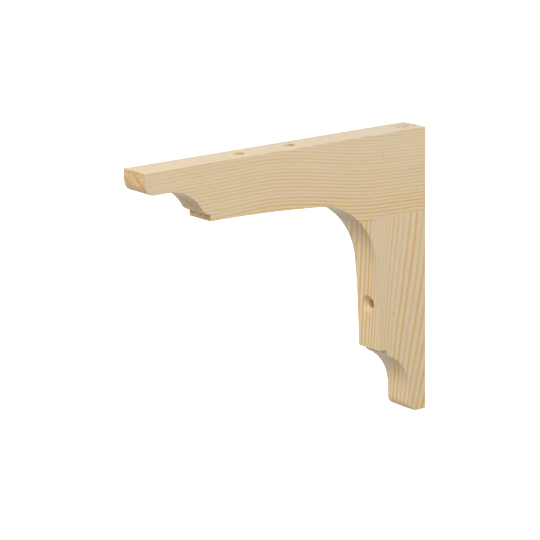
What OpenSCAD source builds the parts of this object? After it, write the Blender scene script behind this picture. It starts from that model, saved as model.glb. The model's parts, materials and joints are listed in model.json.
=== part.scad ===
// Wooden shelf bracket: a curved arm and a curved leg, bridle-jointed at the wall.
// X is the thickness, the wall face is the plane Y = 0, the arm points along -Y
// and +Z is up. The origin is the centre of the wall face.

/* [Overall] */
// Reach of the arm, from the wall face to its tip
arm_len = 250; // [235:1:290]
// Height of the bracket against the wall
height = 215; // [205:1:250]
// Thickness of the boards
thick = 25; // [18:0.5:32]

/* [Free ends] */
// Thickness of the thin tip and of the thin foot
edge_h = 16.3; // [14:0.1:20]
// Radius of the outer corner of the tip and of the foot
corner_r = 8; // [4:0.5:13]
// Radius of the cove that leads up to each block
cove_r = 33; // [30:0.5:36]

/* [Arm] */
// Depth of the arm at its block
arm_depth = 41.4; // [39.4:0.2:45]
// Distance from the tip to the block
arm_block = 54; // [53:0.5:60]
// Distance from the tip to the start of the cove
arm_cove = 19; // [16:0.5:21]
// Depth of the arm just in front of its block
arm_web = 36.5; // [34.5:0.1:38]

/* [Leg] */
// Depth of the leg at its block, from the wall face
leg_depth = 44.3; // [42:0.1:47]
// Distance from the foot to the block
leg_block = 52; // [51:0.5:58]
// Distance from the foot to the start of the cove
leg_cove = 16.7; // [14:0.1:19]
// Depth of the leg just below its block
leg_web = 38.4; // [36.4:0.1:40]

/* [Inner curve] */
// Radius of the tight curve in the corner
crook_r = 56; // [50:0.5:65]
// Radius of the long sweep from the crook to the arm's block
arm_sweep_r = 1060; // [900:10:1300]
// Radius of the long sweep from the crook to the leg's block
leg_sweep_r = 690; // [640:10:900]

/* [Bridle joint] */
// Height of the shoulder line below the top face
shoulder_drop = 62.5; // [55:0.5:66]
// Width of the tenon
tenon_w = 11; // [7:0.5:13]
// Length of the tenon along the arm
tenon_len = 19; // [14:0.5:24]

/* [Wall screw hole] */
// Bore of the hole through the leg
screw_bore_d = 6.4; // [4:0.1:7]
// Mouth of its countersink, which is cut at 90 degrees
sink_d = 13.5; // [9:0.5:15]
// Height of the hole above the foot
screw_up = 85.5; // [75:0.5:95]

/* [Shelf dowel holes] */
// Bore of the two blind holes in the top face
dowel_bore_d = 8; // [6:0.5:10]
// Depth of the dowel holes
dowel_depth = 22; // [12:1:28]
// Distance from the wall face to the first dowel hole
dowel_out = 116.5; // [60:0.5:125]
// Spacing of the two dowel holes
dowel_pitch = 45; // [30:0.5:60]

/* [Hidden] */
$fn = 96;
eps = 0.5;                              // how far a cutter stands proud of a face
hair = 0.001;                           // overlap where two arcs meet, so they join cleanly
arm_run = arm_len - arm_block;          // wall face to the arm's block
leg_run = height - leg_block;           // top face to the leg's block

// The outline is drawn in the plane of the boards: x runs from the wall face
// (0) towards the tip (-arm_len), y from the top face (0) down to the foot.
arm_sweep = [-arm_run, -(arm_depth + arm_sweep_r)];
leg_sweep = [-(leg_depth + leg_sweep_r), -leg_run];

// Centre of the crook: its circle touches both sweeps from inside, so its
// distance from the centre of each is the difference of their radii.
span = leg_sweep - arm_sweep;
from_arm = arm_sweep_r - crook_r;
from_leg = leg_sweep_r - crook_r;
along = (from_arm ^ 2 - from_leg ^ 2 + norm(span) ^ 2) / (2 * norm(span));
aside = sqrt(from_arm ^ 2 - along ^ 2);
crook = arm_sweep + along * unit(span) + aside * unit([span.y, -span.x]);

function unit(v) = v / norm(v);

// How far the leg's sweep has fallen away at a distance from its block
function leg_sag(run) = leg_sweep_r - sqrt(leg_sweep_r ^ 2 - run ^ 2);

// Thin end of a board: x from the free edge, y from the board's outer face.
// A cove and a smaller reverse round, both turning by the same angle, lead
// from the thin edge to the web in front of the block.
module free_end(block, cove_start, web) {
    turn = 2 * atan((web - edge_h) / (block - cove_start));
    round_r = (block - cove_start) / sin(turn) - cove_r;
    cove_mid = [cove_start, edge_h + cove_r];
    round_mid = [block, web - round_r];
    difference() {
        square([block, edge_h]);
        translate([-eps, edge_h - corner_r])
            difference() {
                square([corner_r + eps, corner_r + eps]);
                translate([corner_r + eps, 0])
                    circle(r = corner_r);
            }
    }
    difference() {
        polygon([[cove_start, 0], [block, 0], round_mid, cove_mid]);
        translate(cove_mid)
            circle(r = cove_r);
    }
    translate(round_mid)
        circle(r = round_r + hair);
}

// Open space inside the bracket, from block to block
module hollow() {
    to_arm = unit(crook - arm_sweep) * crook_r * 1.6;
    to_leg = unit(crook - leg_sweep) * crook_r * 1.6;
    difference() {
        intersection() {
            translate(arm_sweep)
                circle(r = arm_sweep_r);
            translate(leg_sweep)
                circle(r = leg_sweep_r);
        }
        polygon([crook, crook + to_arm, crook + to_arm + to_leg, crook + to_leg]);
    }
    translate(crook)
        circle(r = crook_r + hair);
}

module outline() {
    difference() {
        translate([-arm_run, -leg_run])
            square([arm_run, leg_run]);
        hollow();
    }
    translate([-arm_len, 0])
        mirror([0, 1])
            free_end(arm_block, arm_cove, arm_web);
    translate([0, -height])
        rotate(90)
            free_end(leg_block, leg_cove, leg_web);
}

// A band of the outline between two depths below the top face, as a board
module board(top, bottom) {
    translate([0, 0, height / 2])
        rotate([90, 0, 90])
            linear_extrude(thick, center = true)
                intersection() {
                    outline();
                    translate([-arm_len, -bottom])
                        square([arm_len, bottom - top]);
                }
}

// Tenon on top of the leg, flush with the wall face and with the top face
module tenon(extra = 0) {
    translate([-tenon_w / 2, -tenon_len, height / 2 - shoulder_drop - extra])
        cube([tenon_w, tenon_len + extra, shoulder_drop + 2 * extra]);
}

// Screw hole bored from its countersunk mouth at the origin towards +Y
module screw_hole(length) {
    sink_h = (sink_d - screw_bore_d) / 2;
    rotate([-90, 0, 0]) {
        translate([0, 0, -eps])
            cylinder(d = screw_bore_d, h = length + 2 * eps);
        translate([0, 0, -eps])
            cylinder(d1 = sink_d + 2 * eps, d2 = screw_bore_d, h = sink_h + eps);
    }
}

// Blind hole bored from the top face
module dowel_hole(out) {
    translate([0, -out, height / 2 - dowel_depth])
        cylinder(d = dowel_bore_d, h = dowel_depth + eps);
}

module arm() {
    color("#d8c4a0")
    difference() {
        board(0, shoulder_drop);
        tenon(eps);
        for (n = [0, 1])
            dowel_hole(dowel_out + n * dowel_pitch);
    }
}

module leg() {
    front = leg_depth + leg_sag(screw_up - leg_block);
    color("#cdb78e")
    difference() {
        union() {
            board(shoulder_drop, height);
            tenon();
        }
        translate([0, -front, screw_up - height / 2])
            screw_hole(front);
    }
}

arm();
leg();
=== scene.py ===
"""Wooden shelf bracket of two planed pine boards: a curved arm and a curved leg,
bridle-jointed at the wall."""
import json
from math import asin, atan, atan2, ceil, cos, pi, radians, sin, sqrt

import bmesh
import bpy
from mathutils import Matrix, Vector


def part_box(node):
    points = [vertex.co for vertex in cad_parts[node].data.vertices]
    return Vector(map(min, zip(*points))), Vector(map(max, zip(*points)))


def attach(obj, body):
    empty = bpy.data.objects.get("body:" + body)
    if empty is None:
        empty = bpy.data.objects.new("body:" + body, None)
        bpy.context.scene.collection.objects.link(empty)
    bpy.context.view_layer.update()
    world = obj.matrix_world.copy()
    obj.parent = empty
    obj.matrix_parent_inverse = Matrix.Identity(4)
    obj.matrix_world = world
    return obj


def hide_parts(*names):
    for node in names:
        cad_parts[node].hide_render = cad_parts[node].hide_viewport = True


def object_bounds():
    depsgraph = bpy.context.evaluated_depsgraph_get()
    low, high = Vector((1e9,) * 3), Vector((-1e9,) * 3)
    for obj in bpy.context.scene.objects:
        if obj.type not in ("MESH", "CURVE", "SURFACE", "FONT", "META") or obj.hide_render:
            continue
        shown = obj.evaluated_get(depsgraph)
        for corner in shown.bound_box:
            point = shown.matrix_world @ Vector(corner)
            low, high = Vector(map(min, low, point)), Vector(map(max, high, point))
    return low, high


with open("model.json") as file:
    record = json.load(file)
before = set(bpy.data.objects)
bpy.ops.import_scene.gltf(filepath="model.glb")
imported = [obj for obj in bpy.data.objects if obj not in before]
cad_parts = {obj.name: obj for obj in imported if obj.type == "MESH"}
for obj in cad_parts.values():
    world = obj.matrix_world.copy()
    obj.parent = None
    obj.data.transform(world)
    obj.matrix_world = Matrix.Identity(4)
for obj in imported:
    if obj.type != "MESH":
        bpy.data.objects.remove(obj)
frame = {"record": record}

cad_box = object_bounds()

# ---------------------------------------------------------------- sizes, in mm
MM = 0.001
mounts = {m["name"]: m for m in frame["record"]["mounts"]}
arm_low, arm_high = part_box("arm")
leg_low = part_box("leg")[0]

WALL = arm_high[1] / MM                     # the wall face lies at this Y
TOP = arm_high[2] / MM                      # height of the top face
REACH = WALL - arm_low[1] / MM              # wall face to tip
HEIGHT = TOP - leg_low[2] / MM              # top face to foot
THICK = (arm_high[0] - arm_low[0]) / MM     # thickness of both boards
SHOULDER = TOP - arm_low[2] / MM            # top face to shoulder line
DOWELS = ("shelf_dowel_hole_inner", "shelf_dowel_hole_outer")
DOWELS_OUT = [WALL - mounts[name]["pos_m"][1] / MM for name in DOWELS]
SCREW_DOWN = TOP - mounts["wall_screw_hole"]["pos_m"][2] / MM

EDGE = 16.3             # thickness of the thin tip and foot
CORNER = 8.0            # radius of the outer corner of tip and foot
COVE = 33.0             # radius of both coves
ARM_DEPTH = 41.4        # depth of the arm at its block
ARM_WEB = 36.5          # depth of the arm just in front of its block
ARM_BLOCK = 54.0        # tip to block
ARM_COVE = 19.0         # tip to the start of the cove
ARM_SWEEP = 1060.0      # radius of the long sweep from the block to the crook
LEG_DEPTH = 44.3        # the same of the leg, measured from the wall and from the foot
LEG_WEB = 38.4
LEG_BLOCK = 52.0
LEG_COVE = 16.7
LEG_SWEEP = 690.0
CROOK = 56.0            # radius of the tight curve in the corner
TENON_WIDE = 11.0
TENON_LONG = 19.0
SINK_MOUTH = 13.5       # mouth of the wall hole's countersink, cut at 90 degrees
GLUE_LINE = 0.07        # hairline left on each side of the tenon
ARRIS = 0.55            # how far the arrises are eased
JOINT_ARRIS = 0.14      # the arrises that meet at the joint stay crisp
MOUTH_ARRIS = 0.3       # the mouths of the holes
FACET = 1.1             # length of the short flats that make up a curve
HOLE_FACETS = 64        # number of flats around a hole
PROUD = 2.0             # how far a cutter stands clear of the wood


# ---------------------------------------------------------------- outlines
# Points are (out, down): out from the wall face and down from the top face.

def arc(centre, radius, start, end):
    """Points of an arc between two angles, both ends included."""
    count = max(6, ceil(abs(end - start) * radius / FACET))
    angles = [start + (end - start) * n / count for n in range(count + 1)]
    return [Vector((centre[0] + radius * cos(a), centre[1] + radius * sin(a))) for a in angles]


def free_end(block, depth, cove_start, web):
    """Edge of a thin end, x from its free edge and y from the board's outer face, up to the block.
    A cove and a smaller reverse round, both turning by the same angle, lead to the step."""
    turn = 2 * atan((web - EDGE) / (block - cove_start))
    reverse = (block - cove_start) / sin(turn) - COVE
    return [
        Vector((0, 0)),
        *arc((CORNER, EDGE - CORNER), CORNER, pi, pi / 2),
        *arc((cove_start, EDGE + COVE), COVE, -pi / 2, turn - pi / 2),
        *arc((block, web - reverse), reverse, turn + pi / 2, pi / 2)[1:],
        Vector((block, depth)),
    ]


def bearing(centre, point):
    """Angle of a point, seen from a centre."""
    return atan2(point[1] - centre[1], point[0] - centre[0])


# The crook touches both sweeps from inside, so its distance from the centre of
# each is the difference of their radii.
arm_sweep = Vector((REACH - ARM_BLOCK, ARM_DEPTH + ARM_SWEEP))
leg_sweep = Vector((LEG_DEPTH + LEG_SWEEP, HEIGHT - LEG_BLOCK))
span = leg_sweep - arm_sweep
from_arm = ARM_SWEEP - CROOK
from_leg = LEG_SWEEP - CROOK
along = (from_arm ** 2 - from_leg ** 2 + span.length ** 2) / (2 * span.length)
aside = sqrt(from_arm ** 2 - along ** 2)
crook = arm_sweep + (along * span + aside * Vector((span.y, -span.x))) / span.length
arm_touch = bearing(arm_sweep, crook)
leg_touch = bearing(leg_sweep, crook)
shoulder_angle = -pi + asin((crook.y - SHOULDER) / CROOK)

tip = free_end(ARM_BLOCK, ARM_DEPTH, ARM_COVE, ARM_WEB)
foot = free_end(LEG_BLOCK, LEG_DEPTH, LEG_COVE, LEG_WEB)
arm_outline = [
    *(Vector((REACH - p.x, p.y)) for p in tip),
    *arc(arm_sweep, ARM_SWEEP, -pi / 2, arm_touch)[1:],
    *arc(crook, CROOK, arm_touch, shoulder_angle)[1:],
    Vector((0, SHOULDER)),
    Vector((0, 0)),
]
leg_outline = [
    Vector((0, 0)),
    Vector((TENON_LONG - GLUE_LINE, 0)),
    Vector((TENON_LONG - GLUE_LINE, SHOULDER)),
    *arc(crook, CROOK, shoulder_angle, leg_touch),
    *arc(leg_sweep, LEG_SWEEP, leg_touch, -pi)[1:],
    *(Vector((p.y, HEIGHT - p.x)) for p in reversed(foot[:-1])),
]


# ---------------------------------------------------------------- making the boards
def finished(name, bm):
    """Turns a shape made in millimetres into an object in metres."""
    bmesh.ops.scale(bm, vec=(MM, MM, MM), verts=bm.verts)
    bmesh.ops.recalc_face_normals(bm, faces=bm.faces)
    mesh = bpy.data.meshes.new(name)
    bm.to_mesh(mesh)
    bm.free()
    made = bpy.data.objects.new(name, mesh)
    bpy.context.scene.collection.objects.link(made)
    return made


def sawn(name, outline):
    """A board sawn to an outline of (out, down) points, as thick as the bracket."""
    bm = bmesh.new()
    sides = [
        [bm.verts.new((x, WALL - p.x, TOP - p.y)) for p in outline]
        for x in (-THICK / 2, THICK / 2)
    ]
    for side in sides:
        bm.faces.new(side)
    for n in range(len(outline)):
        bm.faces.new((sides[0][n - 1], sides[0][n], sides[1][n], sides[1][n - 1]))
    return finished(name, bm)


def waste(name, low, high):
    """A square-sided block to cut away, between two corners of x, out and down."""
    bm = bmesh.new()
    corners = bmesh.ops.create_cube(bm, size=1)["verts"]
    for v in corners:
        x, out, down = (low[n] + (v.co[n] + 0.5) * (high[n] - low[n]) for n in range(3))
        v.co = (x, WALL - out, TOP - down)
    return finished(name, bm)


def drill(name, profile):
    """The shape of the drill for a mount's hole: (distance from the mouth, radius) pairs, turned
    about the hole's axis."""
    mount = mounts[name]
    axis = Vector(mount["axis"])
    mouth = Vector(mount["pos_m"]) / MM + axis * mount["dims"]["length_mm"] / 2
    turn = (-axis).to_track_quat("Z", "Y").to_matrix()
    angles = [2 * pi * n / HOLE_FACETS for n in range(HOLE_FACETS)]
    bm = bmesh.new()
    rings = [
        [bm.verts.new(mouth + turn @ Vector((r * cos(a), r * sin(a), inwards))) for a in angles]
        for inwards, r in profile
    ]
    bm.faces.new(rings[0])
    bm.faces.new(rings[-1])
    for near, far in zip(rings, rings[1:]):
        for n in range(HOLE_FACETS):
            bm.faces.new((near[n - 1], near[n], far[n], far[n - 1]))
    return finished(name, bm)


def settled(piece):
    """Applies a piece's modifiers."""
    seen = piece.evaluated_get(bpy.context.evaluated_depsgraph_get())
    mesh = bpy.data.meshes.new_from_object(seen)
    piece.modifiers.clear()
    piece.data = mesh


def cut(piece, cutters):
    """Takes the cutters' shapes out of a piece and throws the cutters away."""
    for cutter in cutters:
        step = piece.modifiers.new(cutter.name, "BOOLEAN")
        step.operation = "DIFFERENCE"
        step.solver = "EXACT"
        step.object = cutter
    settled(piece)
    for cutter in cutters:
        bpy.data.objects.remove(cutter)


def at_joint(spot):
    """True on the faces that the two boards share, and within half a millimetre of the slot."""
    x, out, down = spot.x / MM, WALL - spot.y / MM, TOP - spot.z / MM
    near = 0.5
    in_slot = out < TENON_LONG + near and down < SHOULDER + near and abs(x) < TENON_WIDE / 2 + near
    return abs(down - SHOULDER) < 0.01 or in_slot


def at_mouth(edge):
    """True on the rim of a hole, whose edges are under 0.9 mm long. The holes lie within 8 mm of
    the middle of the boards' thickness."""
    return edge.calc_length() < 0.9 * MM and all(abs(v.co.x) < 8 * MM for v in edge.verts)


def eased(piece):
    """Rounds every arris slightly: less at the joint and at the mouths of the holes."""
    bm = bmesh.new()
    bm.from_mesh(piece.data)
    bmesh.ops.remove_doubles(bm, verts=bm.verts, dist=0.002 * MM)
    weight = bm.edges.layers.float.new("bevel_weight_edge")
    for edge in bm.edges:
        if edge.calc_face_angle(0) < radians(25):
            continue                        # a facet of a curve, not an arris
        halfway = (edge.verts[0].co + edge.verts[1].co) / 2
        width = JOINT_ARRIS if at_joint(halfway) else MOUTH_ARRIS if at_mouth(edge) else ARRIS
        edge[weight] = width / ARRIS
    bm.to_mesh(piece.data)
    bm.free()
    bevel = piece.modifiers.new("eased", "BEVEL")
    bevel.limit_method = "WEIGHT"
    bevel.width = ARRIS * MM
    bevel.segments = 3
    bevel.use_clamp_overlap = False
    settled(piece)
    piece.data.shade_smooth()
    piece.data.set_sharp_from_angle(angle=radians(40))
    flat = piece.modifiers.new("flat", "WEIGHTED_NORMAL")
    flat.keep_sharp = True
    flat.weight = 100
    settled(piece)


slot_half = TENON_WIDE / 2
arm = sawn("pine_arm_board", arm_outline)
dowel_bores = []
for name in DOWELS:
    bore = mounts[name]["dims"]["r_mm"]
    depth = mounts[name]["dims"]["length_mm"]
    flat_bottom = (depth + 0.01, 0.2)       # a last small ring, level with the end of the bore
    dowel_bores.append(drill(name, [(-PROUD, bore), (depth, bore), flat_bottom]))
slot = waste("slot", (-slot_half, -PROUD, -PROUD), (slot_half, TENON_LONG, SHOULDER + PROUD))
cut(arm, [slot, *dowel_bores])
eased(arm)

leg = sawn("pine_leg_board", leg_outline)
cheeks = []
for side in (-1, 1):
    low = (side * (slot_half - GLUE_LINE), -PROUD, -PROUD)
    high = (side * THICK, TENON_LONG + PROUD, SHOULDER)
    cheeks.append(waste("cheek", low, high))
screw_dims = mounts["wall_screw_hole"]["dims"]
screw_bore = screw_dims["r_mm"]
sink = SINK_MOUTH / 2 - screw_bore
screw_cutter = drill("wall_screw_hole", [
    (-sink - PROUD, SINK_MOUTH / 2 + PROUD),
    (0, screw_bore),
    (screw_dims["length_mm"] + PROUD, screw_bore),
])
cut(leg, [*cheeks, screw_cutter])
eased(leg)


# ---------------------------------------------------------------- finishes
def linear(colour):
    """An sRGB hex colour as linear RGBA."""
    channels = [int(colour[n:n + 2], 16) / 255 for n in (1, 3, 5)]
    return (*(c / 12.92 if c <= 0.04045 else ((c + 0.055) / 1.055) ** 2.4 for c in channels), 1)


def node(tree, kind, inputs=None, out=0, **settings):
    """Adds a node with its settings, links or sets its inputs, and returns one output, or every
    output where out is None."""
    made = tree.nodes.new(kind)
    for name, value in settings.items():
        setattr(made, name, value)
    for socket, value in (inputs or {}).items():
        if isinstance(value, bpy.types.NodeSocket):
            tree.links.new(value, made.inputs[socket])
        else:
            made.inputs[socket].default_value = value
    return made.outputs if out is None else made.outputs[out]


MATH, RANGE, VECTOR = "ShaderNodeMath", "ShaderNodeMapRange", "ShaderNodeVectorMath"
MIX, NOISE, PLACE = "ShaderNodeMix", "ShaderNodeTexNoise", "ShaderNodeTexCoord"
SPLIT, JOIN = "ShaderNodeSeparateXYZ", "ShaderNodeCombineXYZ"
FACTOR, FIRST, SECOND, BLEND = 0, 6, 7, 2       # a colour Mix node's sockets
EASE = {"interpolation_type": "SMOOTHSTEP"}
LENGTHWISE, UPRIGHT = 1, 2                      # the axis that the grain of a board runs along

# The grain is drawn from three distances in mm: across the thickness from the near
# side, out from the wall face, and down from the top face.
ARM_SLANT = 0.86        # ring depth gained per mm across: the arm's rings slant by 41 degrees
LEG_SLANT = 0.97        # and the leg's by 44 degrees


def arm_rings(tree, across, out, down):
    """Counts growth rings through the arm, 2.4 mm apart along the top and 3 mm apart low down.
    Their lines run along it, and they slant through it, so that the tip shows them as a slant."""
    # From the tip the lines rise a little for 95 mm, then fall towards the wall in two slow curves
    from_tip = node(tree, MATH, {0: REACH, 1: out}, operation="SUBTRACT")
    rise = node(tree, MATH, {0: from_tip, 1: 95}, operation="MINIMUM")
    depth = node(tree, MATH, {0: rise, 1: 0.013, 2: down}, operation="MULTIPLY_ADD")
    for start, stop, drop in ((100, 205, 9.5), (90, 330, 8)):
        fall = node(tree, RANGE, {0: from_tip, 1: start, 2: stop, 3: 0, 4: drop}, **EASE)
        depth = node(tree, MATH, {0: depth, 1: fall}, operation="SUBTRACT")
    depth = node(tree, MATH, {0: across, 1: ARM_SLANT, 2: depth}, operation="MULTIPLY_ADD")
    squared = node(tree, MATH, {0: depth, 1: depth}, operation="MULTIPLY")
    rings = node(tree, MATH, {0: depth, 1: 0.42}, operation="MULTIPLY")
    return node(tree, MATH, {0: squared, 1: -0.0007, 2: rings}, operation="MULTIPLY_ADD")


def leg_rings(tree, across, out, down):
    """Counts growth rings through the leg, nearly 7 mm apart at the wall and 3 mm at the front.
    They stand along it and lean out towards the foot."""
    # The lean is steady, and slighter at the front. Near the wall it also grows downwards
    below = node(tree, MATH, {0: down, 1: SHOULDER}, operation="SUBTRACT")
    growth = node(tree, RANGE, {0: out, 1: 5, 2: 45, 3: 0.0008, 4: 0})
    steady = node(tree, RANGE, {0: out, 1: 34, 2: 46, 3: 0.11, 4: 0.07})
    lean = node(tree, MATH, {0: below, 1: growth, 2: steady}, operation="MULTIPLY_ADD")
    lean = node(tree, MATH, {0: below, 1: lean}, operation="MULTIPLY")
    # Away from the front they also stand more upright towards the far side
    fade = node(tree, RANGE, {0: out, 1: 18, 2: 40, 3: -0.018, 4: 0})
    upright = node(tree, MATH, {0: across, 1: fade, 2: 1}, operation="MULTIPLY_ADD")
    lean = node(tree, MATH, {0: lean, 1: upright}, operation="MULTIPLY")
    depth = node(tree, MATH, {0: out, 1: lean}, operation="SUBTRACT")
    depth = node(tree, MATH, {0: across, 1: LEG_SLANT, 2: depth}, operation="MULTIPLY_ADD")
    # 0.15 rings per mm, with 5.6 more crowded in around a depth of 43 mm
    crowd = node(tree, MATH, {0: depth, 1: 43}, operation="SUBTRACT")
    crowd = node(tree, MATH, {0: crowd, 1: 1.2 / 18}, operation="MULTIPLY")
    crowd = node(tree, MATH, {0: crowd}, operation="TANH")
    rings = node(tree, MATH, {0: depth, 1: 0.15, 2: 4.0}, operation="MULTIPLY_ADD")
    return node(tree, MATH, {0: crowd, 1: 2.8, 2: rings}, operation="MULTIPLY_ADD")


def arm_contrast(tree, across, out, down):
    """The arm's rings are faint along the top and clear low down."""
    return node(tree, RANGE, {0: down, 1: 0, 2: 55, 3: 0.50, 4: 0.95})


def leg_contrast(tree, across, out, down):
    """The leg's rings grow clearer towards the foot. The close ones at the near front arris are
    faint, and those beyond them, in the crook and across the front, are strong."""
    lower = node(tree, RANGE, {0: down, 1: SHOULDER, 2: HEIGHT, 3: 0.62, 4: 1.4})
    depth = node(tree, MATH, {0: across, 1: LEG_SLANT, 2: out}, operation="MULTIPLY_ADD")
    faint = node(tree, RANGE, {0: depth, 1: 30, 2: 42, 3: 1, 4: 0.55}, **EASE)
    strong = node(tree, RANGE, {0: depth, 1: 46, 2: 55, 3: 1, 4: 3.2}, **EASE)
    beyond = node(tree, MATH, {0: faint, 1: strong}, operation="MULTIPLY")
    return node(tree, MATH, {0: lower, 1: beyond}, operation="MULTIPLY")


def streaks(tree, place, grain_axis, wide, long, detail, roughness):
    """Noise drawn out along the grain, with its width and its length in mm."""
    stretch = [1 / wide] * 3
    stretch[grain_axis] = 1 / long
    place = node(tree, VECTOR, {0: place, 1: stretch}, operation="MULTIPLY")
    return node(tree, NOISE, {"Vector": place, "Scale": 1, "Detail": detail, "Roughness": roughness})


def late_wood(tree, rings, fibres):
    """How much late wood there is: it deepens through each ring, then stops short at an edge that
    the fibres fray, and some years have more of it than others."""
    frayed = node(tree, RANGE, {0: fibres, 1: 0.3, 2: 0.7, 3: -0.07, 4: 0.07})
    frayed = node(tree, MATH, {0: rings, 1: frayed}, operation="ADD")
    year = node(tree, MATH, {0: frayed}, operation="FLOOR")
    season = node(tree, MATH, {0: frayed}, operation="FRACT")
    rise = node(tree, RANGE, {0: season, 1: 0.24, 2: 0.62, 3: 0, 4: 1}, **EASE)
    stop = node(tree, RANGE, {0: season, 1: 0.66, 2: 0.90, 3: 1, 4: 0}, **EASE)
    late = node(tree, MATH, {0: rise, 1: stop}, operation="MULTIPLY")
    vigour = node(tree, "ShaderNodeTexWhiteNoise", {"W": year}, noise_dimensions="1D")
    vigour = node(tree, RANGE, {0: vigour, 1: 0, 2: 1, 3: 0.6, 4: 1.15})
    return late, vigour


def end_tone(tree, rings, across, down):
    """How light the wood is where it is cut across: a darker ring every few years, and rays that
    cross the rings, drawn 1.1 mm wide because real ones are too fine to show."""
    cycle = node(tree, MATH, {0: rings, 1: 1 / 5.5, 2: -0.4}, operation="MULTIPLY_ADD")
    cycle = node(tree, MATH, {0: cycle}, operation="FRACT")
    cycle = node(tree, MATH, {0: cycle, 1: 0.5}, operation="SUBTRACT")
    cycle = node(tree, MATH, {0: cycle}, operation="ABSOLUTE")
    hard_year = node(tree, RANGE, {0: cycle, 1: 0.04, 2: 0.16, 3: 0.78, 4: 1}, **EASE)
    years = node(tree, MATH, {0: rings, 1: 0.5}, operation="MULTIPLY")
    slant = node(tree, MATH, {0: down, 1: -ARM_SLANT, 2: across}, operation="MULTIPLY_ADD")
    slant = node(tree, MATH, {0: slant, 1: 1 / 1.1}, operation="MULTIPLY")
    place = node(tree, JOIN, {0: years, 1: slant})
    rays = node(tree, NOISE, {"Vector": place, "Scale": 1, "Detail": 1, "Roughness": 0.5})
    rays = node(tree, RANGE, {0: rays, 1: 0.3, 2: 0.7, 3: 0.74, 4: 1.3})
    return node(tree, MATH, {0: hard_year, 1: rays}, operation="MULTIPLY")


def planed_pine(name, grain, grain_axis):
    """Planed pine, unfinished: pale cream early wood with honey-coloured late wood in every ring,
    fine fibres along the grain, darker and redder where it is cut across, and a dull sheen."""
    pine = bpy.data.materials.new(name)
    pine.use_nodes = True
    tree = pine.node_tree
    shader = tree.nodes["Principled BSDF"]

    place = node(tree, PLACE, out="Object")
    place = node(tree, VECTOR, {0: place, 3: 1 / MM}, operation="SCALE")
    x, y, z = node(tree, SPLIT, {0: place}, out=None)
    across = node(tree, MATH, {0: THICK / 2, 1: x}, operation="SUBTRACT")
    out = node(tree, MATH, {0: WALL, 1: y}, operation="SUBTRACT")
    down = node(tree, MATH, {0: TOP, 1: z}, operation="SUBTRACT")

    # The grain wanders in waves about 110 mm long and 20 mm apart
    waves = streaks(tree, place, grain_axis, wide=20, long=110, detail=1, roughness=0.3)
    wander = node(tree, RANGE, {0: waves, 1: 0.25, 2: 0.75, 3: -0.2, 4: 0.2})
    rings = grain["rings"](tree, across, out, down)
    rings = node(tree, MATH, {0: rings, 1: wander}, operation="ADD")

    # Real fibres are some 0.03 mm wide and 3 mm long, too fine to show, so they are drawn coarser
    fibres = streaks(tree, place, grain_axis, wide=0.35, long=9, detail=2, roughness=0.6)

    late, vigour = late_wood(tree, rings, fibres)
    contrast = grain["contrast"](tree, across, out, down)
    vigour = node(tree, MATH, {0: vigour, 1: contrast}, operation="MULTIPLY")
    patches = node(tree, RANGE, {0: waves, 1: 0.3, 2: 0.7, 3: 0.75, 4: 1.25})
    vigour = node(tree, MATH, {0: vigour, 1: patches}, operation="MULTIPLY")
    late = node(tree, MATH, {0: late, 1: vigour}, operation="MULTIPLY")
    woods = {FACTOR: late, FIRST: linear("#e1cdab"), SECOND: linear("#ddaf60")}
    colour = node(tree, MIX, woods, BLEND, data_type="RGBA")
    tone = node(tree, RANGE, {0: fibres, 1: 0.25, 2: 0.75, 3: 0.93, 4: 1.05})
    colour = node(tree, VECTOR, {0: colour, 3: tone}, operation="SCALE")

    # Small brown resin specks on the near side, and painted light inside the holes: warm, paler
    # tints that stand in for light falling into them
    spot = node(tree, JOIN, {0: across, 1: out, 2: down})
    for flatten, centre, inner, outer, tint, strength in grain["marks"]:
        flat = node(tree, VECTOR, {0: spot, 1: flatten}, operation="MULTIPLY")
        away = node(tree, VECTOR, {0: flat, 1: centre}, out="Value", operation="DISTANCE")
        mark = node(tree, RANGE, {0: away, 1: inner, 2: outer, 3: strength, 4: 0})
        tinted = {FACTOR: mark, FIRST: colour, SECOND: linear(tint)}
        colour = node(tree, MIX, tinted, BLEND, data_type="RGBA")

    # The end grain shows where a face looks along the board
    normal = node(tree, "ShaderNodeNewGeometry", out="Normal")
    facing = node(tree, SPLIT, {0: normal}, out=grain_axis)
    facing = node(tree, MATH, {0: facing}, operation="ABSOLUTE")
    end = node(tree, RANGE, {0: facing, 1: 0.35, 2: 0.95, 3: 0, 4: grain["end"]}, **EASE)
    redder = {FACTOR: 1.0, FIRST: colour, SECOND: linear("#ecdabe")}
    cut_across = node(tree, MIX, redder, BLEND, data_type="RGBA", blend_type="MULTIPLY")
    tone = end_tone(tree, rings, across, down)
    cut_across = node(tree, VECTOR, {0: cut_across, 3: tone}, operation="SCALE")
    ends = {FACTOR: end, FIRST: colour, SECOND: cut_across}
    colour = node(tree, MIX, ends, BLEND, data_type="RGBA")
    tree.links.new(colour, shader.inputs["Base Color"])

    shader.inputs["Roughness"].default_value = 0.55
    shader.inputs["IOR"].default_value = 1.5
    relief = node(tree, "ShaderNodeBump", {"Height": fibres, "Strength": 0.3, "Distance": 0.00006})
    tree.links.new(relief, shader.inputs["Normal"])
    return pine


# A mark on the wood, a real resin speck or painted light inside a hole, is a ball: how it is
# flattened along across, out and down, its centre after that, its inner and outer radius, and its
# tint and strength.

def speck(out, down, strength):
    """A resin speck about 1 mm across on the near side."""
    return ((1, 1, 1), (0, out, down), 0.3, 0.9, "#9a5414", strength)


def dowel_hole_painted_light(out):
    """Painted light inside a dowel hole: a warm yellow tint in place of light falling into it,
    reached by a ball stretched to the depth of the hole.
    """
    return ((1, 1, 0.15), (THICK / 2, out, 1.65), 4.33, 4.37, "#e4c070", 0.8)


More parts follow.
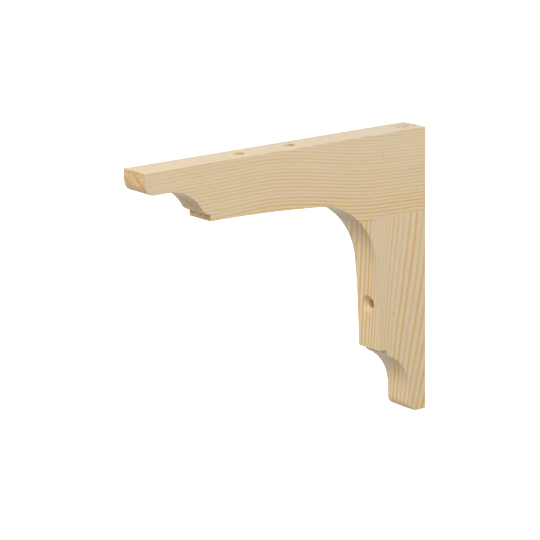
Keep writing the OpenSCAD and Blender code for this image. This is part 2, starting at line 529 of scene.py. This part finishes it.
def screw_hole_painted_light():
    """Painted light inside the wall screw hole and its countersink: a pale tint that brightens them,
    as a rod along the hole.
    """
    rim = SINK_MOUTH / 2
    return ((1, 0, 1), (THICK / 2, 0, SCREW_DOWN), rim - 0.1, rim, "#ecc98c", 0.2)


arm_grain = {
    "rings": arm_rings,
    "contrast": arm_contrast,
    # the dowel holes' marks are painted light, a warm tint inside the holes
    "marks": (speck(9, 46, 0.45), speck(41, 16, 0.45), *(dowel_hole_painted_light(out) for out in DOWELS_OUT)),
    "end": 1.0,                                 # how strongly the end grain shows
}
leg_grain = {
    "rings": leg_rings,
    "contrast": leg_contrast,
    # the screw hole's mark is painted light, a pale tint inside the hole and its countersink
    "marks": (speck(31, 136, 0.6), speck(26, 84, 0.25), screw_hole_painted_light()),
    "end": 0.45,
}
for board, slot_name, cad_node, grain, grain_axis in (
    (arm, "pine_arm", "arm", arm_grain, LENGTHWISE),
    (leg, "pine_leg", "leg", leg_grain, UPRIGHT),
):
    board.data.materials.clear()
    board.data.materials.append(planed_pine("planed_" + slot_name, grain, grain_axis))
    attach(board, "root")
    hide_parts(cad_node)


# ---------------------------------------------------------------- studio, in metres and degrees
FLOOR_SIDE = 14.0
SOFTBOX_SIDE = 0.9
SOFTBOX_AWAY = 1.6      # from the middle of the bracket
middle = (cad_box[0] + cad_box[1]) / 2

bm = bmesh.new()
bmesh.ops.create_grid(bm, x_segments=1, y_segments=1, size=FLOOR_SIDE / 2 / MM)
floor = finished("studio_floor", bm)
floor.location.z = cad_box[0].z - 0.0005
floor.visible_diffuse = False               # it shows pale, but throws no light back up

# Backlit white acrylic: an even, dull white that stays white around the shadow
sheet = bpy.data.materials.new("backlit_white_acrylic")
sheet.use_nodes = True
acrylic = sheet.node_tree.nodes["Principled BSDF"]
acrylic.inputs["Base Color"].default_value = linear("#f6f6f6")
acrylic.inputs["Roughness"].default_value = 0.9
acrylic.inputs["Emission Color"].default_value = (1, 1, 1, 1)
acrylic.inputs["Emission Strength"].default_value = 0.75
floor.data.materials.append(sheet)

# The room is white, and a little brighter low down
world = bpy.data.worlds.new("studio")
bpy.context.scene.world = world
world.use_nodes = True
room = world.node_tree
height = node(room, SPLIT, {0: node(room, PLACE, out="Generated")}, out=2)
glow = node(room, RANGE, {0: height, 1: -0.38, 2: -0.12, 3: 0.27, 4: 0.20}, **EASE)
background = room.nodes["Background"].inputs
room.links.new(glow, background["Strength"])
background["Color"].default_value = (1, 1, 1, 1)


def aimed(name, data, target, azimuth, elevation, away, roll=0):
    """Adds a lamp or a camera that looks at a target. Azimuth 0 is out beyond the tip."""
    a, e = radians(azimuth), radians(elevation)
    back = Vector((sin(a) * cos(e), -cos(a) * cos(e), sin(e)))
    made = bpy.data.objects.new(name, data)
    made.location = target + back * away
    made.rotation_mode = "QUATERNION"
    facing = (-back).to_track_quat("-Z", "Y")
    made.rotation_quaternion = facing @ Matrix.Rotation(radians(roll), 3, "Z").to_quaternion()
    bpy.context.scene.collection.objects.link(made)
    return made


for name, azimuth, elevation, watts, colour in (
    ("key_left", -25, 35, 15, "#ffffff"),
    ("key_right", 46, 37, 13.2, "#ffffff"),
    ("fill_side", 120, 30, 11, "#ffffff"),
    ("rim_behind", 230, 25, 4.7, "#dcecff"),    # cooler, and seen as a sheen on the top
):
    softbox = bpy.data.lights.new(name, "AREA")
    softbox.shape = "SQUARE"
    softbox.size = SOFTBOX_SIDE
    softbox.energy = watts
    softbox.color = linear(colour)[:3]
    aimed(name, softbox, middle, azimuth, elevation, SOFTBOX_AWAY)

# The camera looks from the near side and the tip, a little from above, through a long lens
lens = bpy.data.cameras.new("camera")
lens.sensor_width = 36
lens.lens = 166.67
target = middle + Vector((-0.0085, -0.0040, 0.0167))
camera = aimed("camera", lens, target, azimuth=52.66, elevation=14.30, away=1.7875, roll=-0.82)
bpy.context.scene.camera = camera
bpy.context.scene.view_settings.view_transform = "Standard"
